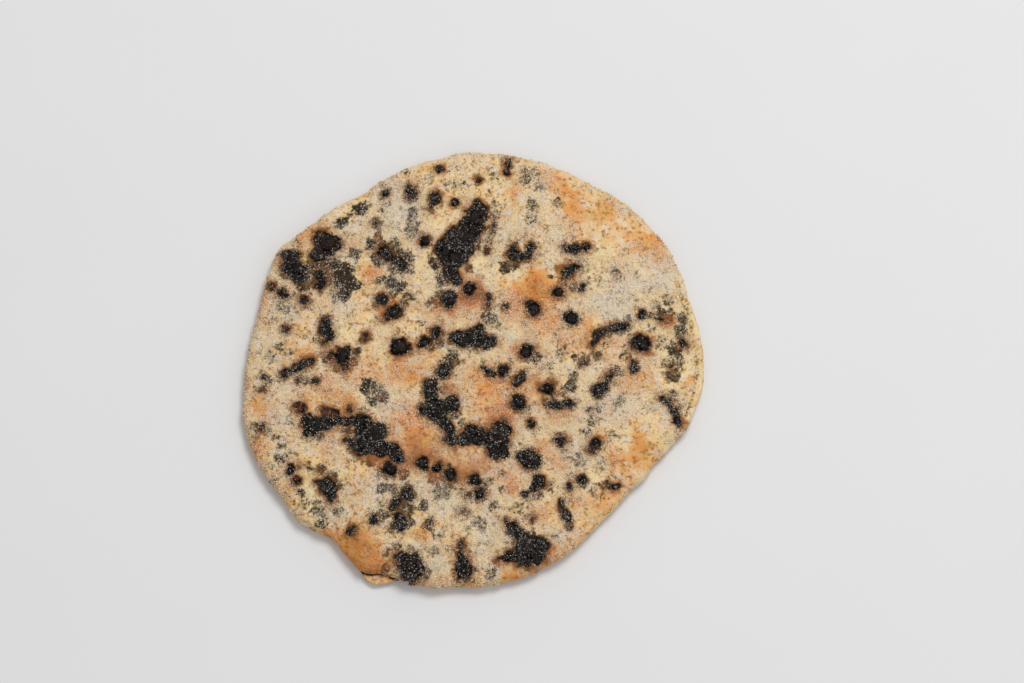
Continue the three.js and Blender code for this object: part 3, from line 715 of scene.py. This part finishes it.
def currant_places(rng):
    """Places for the currants: each single one, and in each run as many as fit, thrown at random and kept
    where they don't lie too deep in one another. Gives (x, y, radius, how red) rows."""
    placed = [(x, y, radius * SINGLE_SIZE, 0.0) for x, y, radius in SINGLE_CURRANTS]
    placed += [(x, y, radius * SINGLE_SIZE, 1.0) for x, y, radius in RED_CURRANTS]
    for run in CURRANT_RUNS:
        mine = []
        low = [min(circle[k] - circle[2] for circle in run) for k in (0, 1)]
        high = [max(circle[k] + circle[2] for circle in run) for k in (0, 1)]
        tries = int(90 + 30 * (high[0] - low[0]) * (high[1] - low[1]))
        thrown = rng.uniform(low, high, (tries, 2))
        inside = -distance_to_runs(thrown[:, 0], thrown[:, 1] + LAYOUT_Y, [run])
        sizes = rng.uniform(0.85, 1.15, tries)
        for (x, y), depth, size in zip(thrown, inside, sizes):
            radius = min(max(1.05 * depth, SMALLEST_RADIUS), LARGEST_RADIUS) * size
            if depth < max(LEAST_DEPTH, 0.62 * radius):
                continue
            near = [math.hypot(x - a, y - b) < CROWDING * (radius + r) for a, b, r, _ in mine]
            if not any(near):
                mine.append((x, y, radius, 0.0))
        placed += mine
    return np.array(placed) + np.array([0, LAYOUT_Y, 0, 0])


def noise_in_space(points, seed):
    """Smooth noise from -1 to 1 on a lattice of 1 in space, for points given as rows."""
    table = np.random.default_rng(seed).uniform(-1, 1, (SPACE_LATTICE,) * 3)
    whole = np.floor(points).astype(int)
    part = smoothstep(0, 1, points - whole)
    total = np.zeros(points.shape[:-1])
    for corner in np.ndindex(2, 2, 2):
        weight = np.prod(np.where(corner, part, 1 - part), -1)
        place = (whole + corner) % SPACE_LATTICE
        total += weight * table[place[..., 0], place[..., 1], place[..., 2]]
    return total


def currant_shapes(placed, rng):
    """Each currant is an egg of its own proportions, turned at random, whose skin sinks into creases where
    smooth noise on it passes through zero: a few deep folds, and fine wrinkles between them."""
    count = len(placed)
    lon = np.arange(CURRANT_TURNS) * 2 * math.pi / CURRANT_TURNS
    lat = np.linspace(-math.pi / 2, math.pi / 2, CURRANT_RINGS)[1:-1]
    belt = np.stack(
        [
            np.outer(np.cos(lat), np.cos(lon)).ravel(),
            np.outer(np.cos(lat), np.sin(lon)).ravel(),
            np.outer(np.sin(lat), np.ones(CURRANT_TURNS)).ravel(),
        ],
        1,
    )
    way = np.concatenate([[[0, 0, -1.0]], belt, [[0, 0, 1.0]]])
    offset = rng.uniform(0, 30, (count, 1, 3))
    folds = noise_in_space(way[None] * 1.5 + offset, 81)
    wrinkles = noise_in_space(way[None] * 3.6 + offset, 82)
    reach = 1.08 - 0.26 * np.exp(-((folds / 0.16) ** 2)) - 0.14 * np.exp(-((wrinkles / 0.2) ** 2))
    reach += 0.20 * noise_in_space(way[None] * 1.1 + offset, 83)
    egg = rng.uniform(0.82, 1.2, (count, 1, 3)) * way[None] * reach[..., None]
    lean = rng.uniform(0, math.pi, (3, count))
    for turn, (a, b) in zip(lean[..., None], ((0, 2), (1, 2), (0, 1))):
        along, across = egg[..., a], egg[..., b]
        turned = along * np.cos(turn) - across * np.sin(turn)
        egg[..., b] = along * np.sin(turn) + across * np.cos(turn)
        egg[..., a] = turned
    radius = placed[:, 2][:, None]
    x = placed[:, 0][:, None] + egg[..., 0] * radius
    y = placed[:, 1][:, None] + egg[..., 1] * radius
    proud = (0.1 + 0.11 * placed[:, 2] + rng.uniform(-0.3, 0.3, count))[:, None]
    level = cad.crown(placed[:, 0], placed[:, 1])[:, None]
    z = level + proud + (egg[..., 2] - 1.0) * np.maximum(radius * 0.78, 0.9)
    return np.stack([x, y, z], 2)


def currant_faces(count):
    """The faces of one currant, rings of four-sided faces between a cap at each pole, repeated for all."""
    turns, rings = CURRANT_TURNS, CURRANT_RINGS - 2
    here = np.arange(turns)
    after = (here + 1) % turns
    quads = []
    for ring in range(rings - 1):
        low, high = 1 + ring * turns, 1 + (ring + 1) * turns
        quads.append(np.stack([low + here, low + after, high + after, high + here], 1))
    quads = np.concatenate(quads)
    last = 1 + rings * turns
    bottom = np.stack([np.zeros(turns, int), 1 + after, 1 + here], 1)
    top = np.stack([np.full(turns, last), last - turns + here, last - turns + after], 1)
    size = last + 1
    faces = []
    for k in range(count):
        for part in (quads, bottom, top):
            faces += (part + k * size).tolist()
    return faces


# ------------------------------------------------------------------------------
# Sugar
# ------------------------------------------------------------------------------

SUGAR_ON_CRUST = 45000
SUGAR_ON_FRUIT = 22000
CRYSTAL_SIDE = 0.37  # of a caster sugar crystal
WET_SHARE = 0.8  # of its side that is left where syrup has wetted it
CUBE = np.array([(x, y, z) for z in (-0.5, 0.5) for y in (-0.5, 0.5) for x in (-0.5, 0.5)])
CUBE_FACES = np.array([(0, 2, 3, 1), (4, 5, 7, 6), (0, 1, 5, 4), (2, 6, 7, 3), (0, 4, 6, 2), (1, 3, 7, 5)])


def crystals(places, side, rng):
    """Blocks of sugar at these places, each of its own proportions, turned by a random unit quaternion."""
    count = len(places)
    turn = rng.normal(size=(count, 4))
    turn /= np.linalg.norm(turn, axis=1, keepdims=True)
    w, x, y, z = turn.T
    spin = np.array(
        [
            [1 - 2 * (y * y + z * z), 2 * (x * y - w * z), 2 * (x * z + w * y)],
            [2 * (x * y + w * z), 1 - 2 * (x * x + z * z), 2 * (y * z - w * x)],
            [2 * (x * z - w * y), 2 * (y * z + w * x), 1 - 2 * (x * x + y * y)],
        ]
    )
    size = side * rng.uniform(0.6, 1.25, (count, 1, 3))
    blocks = np.einsum("ijn,nkj->nki", spin, CUBE[None] * size) + places[:, None]
    faces = (CUBE_FACES[None] + 8 * np.arange(count)[:, None, None]).reshape(-1, 4)
    return blocks.reshape(-1, 3), faces.tolist()


def sprinkle(name, places, side, fields, material, pieces, rng):
    """Crystals at these places, dealt out to this many pieces so that none is heavy. Each crystal carries
    the fields of its place."""
    for number in range(pieces):
        points, faces = crystals(places[number::pieces], side, rng)
        carried = {field: np.repeat(values[number::pieces], len(CUBE)) for field, values in fields.items()}
        build_mesh(f"{name}_{number + 1}", points, faces, carried, material)


# ------------------------------------------------------------------------------
# Materials
# ------------------------------------------------------------------------------


def linear(code):
    """A colour written as sRGB hex, as the linear values that a shader takes."""
    parts = [int(code[i : i + 2], 16) / 255 for i in (1, 3, 5)]
    return [p / 12.92 if p <= 0.04045 else ((p + 0.055) / 1.055) ** 2.4 for p in parts] + [1.0]


def node(tree, kind, inputs=(), **settings):
    """Adds a node of this kind with these settings. Its inputs are values, sRGB hex colours, nodes or
    outputs, given by name or in the order of its sockets."""
    made = tree.nodes.new("ShaderNode" + kind)
    for name, value in settings.items():
        setattr(made, name, value)
    sockets = [socket for socket in made.inputs if socket.enabled]
    if isinstance(inputs, dict):
        sockets = [next(s for s in sockets if s.name == name) for name in inputs]
        inputs = inputs.values()
    for socket, value in zip(sockets, inputs):
        if isinstance(value, str):
            value = linear(value)
        if hasattr(value, "outputs"):
            value = next(s for s in value.outputs if s.enabled)
        if isinstance(value, bpy.types.NodeSocket):
            tree.links.new(value, socket)
        else:
            socket.default_value = value
    return made


def new_material(name):
    """An empty node material, and the function that adds a node to it."""
    material = bpy.data.materials.new(name)
    material.use_nodes = True
    material.node_tree.nodes.clear()
    return material, partial(node, material.node_tree)


def per_metre(size):
    """The scale of a noise texture whose blotches are this many millimetres across."""
    return 1 / (size * MM)


# Unevenness in the crust: how many millimetres a blotch is across, and how many finer layers it has.
BLOTCHES = {
    "crumb": (0.8, 3.0),
    "fleck": (1.3, 4.0),
    "cloud": (2.6, 3.0),
    "patch": (7.0, 3.0),
    "grain": (0.45, 1.0),  # about one crystal of sugar
    "rosy": (15.0, 2.0),
    "buttery": (5.5, 4.0),
    "floury": (3.6, 4.0),
}
LAYER_SHARE = 0.6  # how much of its strength each finer layer keeps


class Crust:
    """The crust's colour, worked out from the fields stored on the mesh and from blotches at the piece's own
    coordinates, so that the pastry and the sugar on it agree."""

    def __init__(self, add):
        self.add = add
        place = add("TexCoord").outputs["Object"]
        self.field = {name: add("Attribute", attribute_name=name).outputs["Fac"] for name in CRUST_FIELDS}
        self.blotches = {
            name: add("TexNoise", (place, per_metre(size), detail, LAYER_SHARE))
            for name, (size, detail) in BLOTCHES.items()
        }

    def wavering(self, value, name, reach):
        """The value, moved up or down by as much as reach where the blotches of this name are high or low."""
        shift = self.add("MapRange", (self.blotches[name], 0.3, 0.7, -reach, reach))
        return self.add("Math", (value, shift), operation="ADD")

    def above(self, name, level, low, high, most):
        """How far these blotches stand above a level: nothing at low, most at high."""
        over = self.add("Math", (self.blotches[name], level), operation="SUBTRACT")
        return self.add("MapRange", (over, low, high, 0.0, most))

    def toasted(self):
        """Raw cream, through gold, to deep orange where the crust stood high in the oven. On top of that are
        rosy, buttery and floury patches, the floury ones mostly where it stayed raw."""
        uneven = self.wavering(self.field["toast"], "patch", 0.18)
        uneven = self.wavering(uneven, "cloud", 0.17)
        uneven = self.wavering(uneven, "crumb", 0.16)
        crust = self.add("ValToRGB", (uneven,))
        stops = crust.color_ramp.elements
        stops[0].color = linear("#ead2a2")
        stops[1].color = linear("#c67d3c")
        for position, colour in ((0.22, "#e6bf89"), (0.45, "#dfa664"), (0.70, "#de9046")):
            stops.new(position).color = linear(colour)
        rosy = self.add("MapRange", (self.blotches["rosy"], 0.45, 0.66, 0.0, 0.22))
        crust = self.add("Mix", (rosy, crust, "#e6b898"), data_type="RGBA")
        buttery = self.add("MapRange", (self.blotches["buttery"], 0.50, 0.66, 0.0, 0.50))
        crust = self.add("Mix", (buttery, crust, "#cfa964"), data_type="RGBA")
        floury = self.add("MapRange", (self.blotches["floury"], 0.50, 0.66, 0.0, 0.68))
        raw = self.add("MapRange", (self.field["toast"], 0.25, 0.55, 1.0, 0.15))
        floury = self.add("Math", (floury, raw), operation="MULTIPLY")
        return self.add("Mix", (floury, crust, "#ddd4c5"), data_type="RGBA")

    def dusted(self, crust):
        """A pinkish grey bloom of sugar dust where the sugar lies thick."""
        thick = self.wavering(self.wavering(self.field["sugar"], "cloud", 0.20), "crumb", 0.20)
        bloom = self.add("MapRange", (thick, 0.40, 1.0, 0.0, 0.70))
        return self.add("Mix", (bloom, crust, "#d9ccba"), data_type="RGBA")

    def freckled(self, crust):
        """Brown crumbs about 1 mm across, in clusters, where butter and sugar scorched."""
        clusters = self.wavering(self.blotches["cloud"], "patch", 0.10)
        level = self.add("MapRange", (clusters, 0.35, 0.70, 0.70, 0.50))
        scorched = self.above("fleck", level, -0.04, 0.08, 0.62)
        return self.add("Mix", (scorched, crust, "#84592b"), data_type="RGBA")

    def over_fruit(self, crust):
        """An olive grey cast over fruit under the crust, which deepens to brown black, with dark flecks that
        crowd as it shows more. The same field also carries painted shade in the fold's groove and on the
        folded tab under the crust's edge, which this darkens too."""
        shown = self.wavering(self.wavering(self.field["veil_and_shade"], "fleck", 0.20), "crumb", 0.22)
        for low, high, most, cast in ((0.10, 0.50, 0.85, "#84704e"), (0.38, 0.86, 0.95, "#201912")):
            share = self.add("MapRange", (shown, low, high, 0.0, most))
            crust = self.add("Mix", (share, crust, cast), data_type="RGBA")
        level = self.add("MapRange", (shown, 0.0, 1.0, 0.66, 0.40))
        flecks = self.above("fleck", level, -0.06, 0.06, 1.0)
        near_fruit = self.add("MapRange", (self.field["veil_and_shade"], 0.05, 0.35, 0.0, 0.80))
        flecks = self.add("Math", (flecks, near_fruit), operation="MULTIPLY")
        return self.add("Mix", (flecks, crust, "#35230f"), data_type="RGBA")

    def soaked(self, most):
        """How far syrup has soaked in, up to most."""
        wet = self.wavering(self.field["syrup"], "crumb", 0.12)
        return self.add("MapRange", (wet, 0.10, 0.80, 0.0, most))

    def with_syrup(self, crust):
        """Caramel where syrup boiled out, dark red brown where it lies thickest."""
        crust = self.add("Mix", (self.soaked(0.78), crust, "#b2682a"), data_type="RGBA")
        thickest = self.wavering(self.field["syrup"], "crumb", 0.10)
        burnt = self.add("MapRange", (thickest, 0.88, 1.15, 0.0, 0.75))
        return self.add("Mix", (burnt, crust, "#5c2412"), data_type="RGBA")

    def ragged_gap(self):
        """The gap to bare fruit, with a torn edge finer than the mesh."""
        return self.wavering(self.field["gap"], "fleck", 0.70)

    def inside(self):
        """Where the crust is torn away from bare fruit."""
        return self.add("MapRange", (self.ragged_gap(), 0.30, -0.30))

    def colour(self):
        """All the layers, one over the other, then browner towards bare fruit and black inside the pits."""
        crust = self.toasted()
        for layer in (self.dusted, self.freckled, self.over_fruit, self.with_syrup):
            crust = layer(crust)
        for far, near, most, brown in ((2.2, 0.3, 0.55, "#85592a"), (0.9, 0.0, 0.85, "#2f1d10")):
            share = self.add("MapRange", (self.ragged_gap(), far, near, 0.0, most))
            crust = self.add("Mix", (share, crust, brown), data_type="RGBA")
        return self.add("Mix", (self.inside(), crust, "#180e07"), data_type="RGBA")


def baked_pastry():
    """Shortcrust, rolled out and baked in an oven: matt and dry, cream where it stayed soft, golden to orange
    where it stood high, sticky brown where syrup soaked it, and grey with dark flecks over covered fruit."""
    material, add = new_material("baked_shortcrust_pastry")
    crust = Crust(add)

    # sugar too fine to be a crystal of its own
    level = add("MapRange", (crust.field["sugar"], 0.0, 1.0, 0.74, 0.40))
    dusting = crust.above("grain", level, -0.05, 0.10, 0.35)
    colour = add("Mix", (dusting, crust.colour(), "#e8dac3"), data_type="RGBA")

    # the underside, browned on the tray
    uneven = add("MapRange", (crust.blotches["patch"], 0.35, 0.65))
    tray = add("Mix", (uneven, "#cf9a5c", "#b67a3e"), data_type="RGBA")
    under = add("MapRange", (crust.field["base"], 0.25, 0.95))
    colour = add("Mix", (under, colour, tray), data_type="RGBA")

    crumb = add("Math", (crust.blotches["crumb"], 0.8), operation="MULTIPLY")
    grain = add("Math", (crust.blotches["grain"], 0.4), operation="MULTIPLY")
    height = add("Math", (crumb, grain), operation="ADD")
    bump = add("Bump", {"Height": height, "Strength": 0.9, "Distance": 0.6 * MM})
    sticky = add("Math", (crust.inside(), crust.soaked(0.6)), operation="MAXIMUM")
    gloss = add("MapRange", (sticky, 0.0, 1.0, 0.66, 0.30))
    surface = {"Base Color": colour, "Roughness": gloss, "Normal": bump, "Specular IOR Level": 0.22}
    shader = add("BsdfPrincipled", surface)
    add("OutputMaterial", (shader,))
    return material


def currant_skin():
    """Currants baked dry: nearly black, wrinkled, with a sticky shine on the folds and a red-brown cast where
    the skin is thin."""
    material, add = new_material("baked_currant_skin")
    place = add("TexCoord").outputs["Object"]
    wrinkle = add("TexNoise", (place, per_metre(0.8), 4.0))
    patch = add("TexNoise", (place, per_metre(4.0), 2.0))
    thin = add("MapRange", (patch, 0.45, 0.72))
    skin = add("Mix", (thin, "#0f0906", "#26120a"), data_type="RGBA")
    red = add("Attribute", attribute_name="red").outputs["Fac"]
    skin = add("Mix", (red, skin, "#5c2f17"), data_type="RGBA")
    bump = add("Bump", {"Height": wrinkle, "Strength": 1.0, "Distance": 0.6 * MM})
    gloss = add("MapRange", (wrinkle, 0.35, 0.65, 0.20, 0.45))
    surface = {"Base Color": skin, "Roughness": gloss, "Normal": bump, "Specular IOR Level": 0.10}
    syrup = {"Coat Weight": 0.18, "Coat Roughness": 0.12, "Coat Normal": bump}
    shader = add("BsdfPrincipled", surface | syrup)
    add("OutputMaterial", (shader,))
    return material


def sugar_on_crust():
    """Caster sugar, crystallised and sieved: small clear blocks. They show the crust that they lie on,
    whitened by as much as each one is clouded, and their flat faces glint."""
    material, add = new_material("caster_sugar_on_crust")
    crust = Crust(add)
    clouded = add("Attribute", attribute_name="clouded").outputs["Fac"]
    dry = add("MapRange", (crust.soaked(1.0), 0.0, 1.0, 0.80, 0.40))
    white = add("Math", (clouded, dry), operation="MULTIPLY")
    colour = add("Mix", (white, crust.colour(), "#f1e8d8"), data_type="RGBA")
    shader = add("BsdfPrincipled", {"Base Color": colour, "Roughness": 0.40, "Specular IOR Level": 0.08})
    add("OutputMaterial", (shader,))
    return material


def sugar_on_currants():
    """The same caster sugar where it fell on bare fruit: wet with syrup, so mostly clear and dark, with a few
    grains still white."""
    material, add = new_material("caster_sugar_on_currants")
    clouded = add("Attribute", attribute_name="clouded").outputs["Fac"]
    white = add("Math", (clouded, 3.6), operation="POWER")
    colour = add("Mix", (white, "#1c130b", "#c2bbae"), data_type="RGBA")
    shader = add("BsdfPrincipled", {"Base Color": colour, "Roughness": 0.18, "Specular IOR Level": 0.5})
    add("OutputMaterial", (shader,))
    return material


def painted_board():
    """A board painted pale grey, smooth and matt, with the faintest mottle."""
    material, add = new_material("matt_painted_board")
    place = add("TexCoord").outputs["Object"]
    mottle = add("TexNoise", (place, per_metre(60.0), 2.0))
    colour = add("Mix", (mottle, "#dededf", "#e0e0e0"), data_type="RGBA")
    shader = add("BsdfPrincipled", {"Base Color": colour, "Roughness": 0.8, "Specular IOR Level": 0.2})
    add("OutputMaterial", (shader,))
    return material


# ------------------------------------------------------------------------------
# Pieces
# ------------------------------------------------------------------------------

rng = np.random.default_rng(20)
pastry_skin = baked_pastry()
fruit_skin = currant_skin()

pastry_points, pastry_faces, pastry_fields = pastry_surface()
pastry = build_mesh("pastry", pastry_points, pastry_faces, pastry_fields, pastry_skin)
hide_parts(CAKE)

tab_points, tab_faces, tab_fields = folded_tab()
build_mesh("folded_tab", tab_points, tab_faces, tab_fields, pastry_skin)

currants = currant_places(rng)
currant_points = currant_shapes(currants, rng)
halves = {"currants_far": currants[:, 1] >= 0, "currants_near": currants[:, 1] < 0}
for name, chosen in halves.items():
    shapes = currant_points[chosen]
    redness = np.repeat(currants[chosen, 3], shapes.shape[1])
    faces = currant_faces(len(shapes))
    build_mesh(name, shapes.reshape(-1, 3), faces, {"red": redness}, fruit_skin)

# Sugar on the crust, likelier where it was strewn thick and where fruit shows through.
top_count = (TOP_CELLS + 1) ** 2
top_points = pastry_points[:top_count]
top_fields = {name: values[:top_count] for name, values in pastry_fields.items()}
chance = top_fields["sugar"] ** 1.6 * (top_fields["gap"] > 0.2)
chance *= 1 + 0.8 * top_fields["veil_and_shade"]
chosen = rng.choice(top_count, SUGAR_ON_CRUST, replace=False, p=chance / chance.sum())
places = top_points[chosen] + np.array([0, 0, 0.03])
places[:, :2] += rng.uniform(-0.3, 0.3, (SUGAR_ON_CRUST, 2))
fields = {name: top_fields[name][chosen] for name in CRUST_FIELDS}
fields["clouded"] = rng.random(SUGAR_ON_CRUST) ** (1 + 2.5 * fields["veil_and_shade"])
sprinkle("sugar_on_crust", places, CRYSTAL_SIDE, fields, sugar_on_crust(), 3, rng)

# Sugar on the fruit: on the upper sides of the currants and in the pits round them.
all_points = currant_points.reshape(-1, 3)
level = cad.crown(all_points[:, 0], all_points[:, 1])
upper = all_points[all_points[:, 2] > level - 0.6]
in_pits = top_points[top_fields["gap"] < -0.2]
bare = np.concatenate([upper, in_pits])
places = bare[rng.choice(len(bare), SUGAR_ON_FRUIT, replace=False)]
places = places + rng.uniform(-0.15, 0.15, places.shape)
fields = {"clouded": rng.random(SUGAR_ON_FRUIT)}
sprinkle("sugar_on_currants", places, CRYSTAL_SIDE * WET_SHARE, fields, sugar_on_currants(), 2, rng)

# ------------------------------------------------------------------------------
# Stage, light and camera
# ------------------------------------------------------------------------------

FLOOR_HALF = 3.0
WORLD_STRENGTH = 0.51
floor_mesh = bpy.data.meshes.new("floor")
corners = [(x * FLOOR_HALF, y * FLOOR_HALF, 0) for x, y in ((-1, -1), (1, -1), (1, 1), (-1, 1))]
floor_mesh.from_pydata(corners, [], [(0, 1, 2, 3)])
floor_mesh.materials.append(painted_board())
floor = bpy.data.objects.new("floor", floor_mesh)
bpy.context.scene.collection.objects.link(floor)


def soft_light(name, place, size, power):
    """A square soft box at a place, facing the middle of the cake."""
    lamp = bpy.data.lights.new(name, "AREA")
    lamp.shape = "SQUARE"
    lamp.size = size
    lamp.energy = power
    box = bpy.data.objects.new(name, lamp)
    box.location = place
    box.rotation_euler = (-Vector(place)).to_track_quat("-Z", "Y").to_euler()
    bpy.context.scene.collection.objects.link(box)


soft_light("key_softbox", (0.42, 0.62, 1.52), size=0.6, power=14.7)
soft_light("fill_softbox", (0.8, -0.8, 1.4), size=1.4, power=3.0)

world = bpy.data.worlds.new("studio")
bpy.context.scene.world = world
world.use_nodes = True
background = world.node_tree.nodes["Background"]
background.inputs["Color"].default_value = (1, 1, 1, 1)
background.inputs["Strength"].default_value = WORLD_STRENGTH

CAMERA_ELEVATION = math.radians(76.5)
CAMERA_LENS = 135.0
SENSOR = 36.0
VIEW_WIDTH = 0.3554  # what the frame spans across at the cake
AIM = Vector((0.0133, 0.0083, 0.008))  # the point in the middle of the frame
distance = VIEW_WIDTH * CAMERA_LENS / SENSOR
camera_data = bpy.data.cameras.new("camera")
camera_data.lens = CAMERA_LENS
camera_data.sensor_width = SENSOR
camera = bpy.data.objects.new("camera", camera_data)
away = Vector((0, -math.cos(CAMERA_ELEVATION), math.sin(CAMERA_ELEVATION)))
camera.location = AIM + away * distance
camera.rotation_euler = (-away).to_track_quat("-Z", "Y").to_euler()
bpy.context.scene.collection.objects.link(camera)
bpy.context.scene.camera = camera
bpy.context.scene.view_settings.view_transform = "Standard"
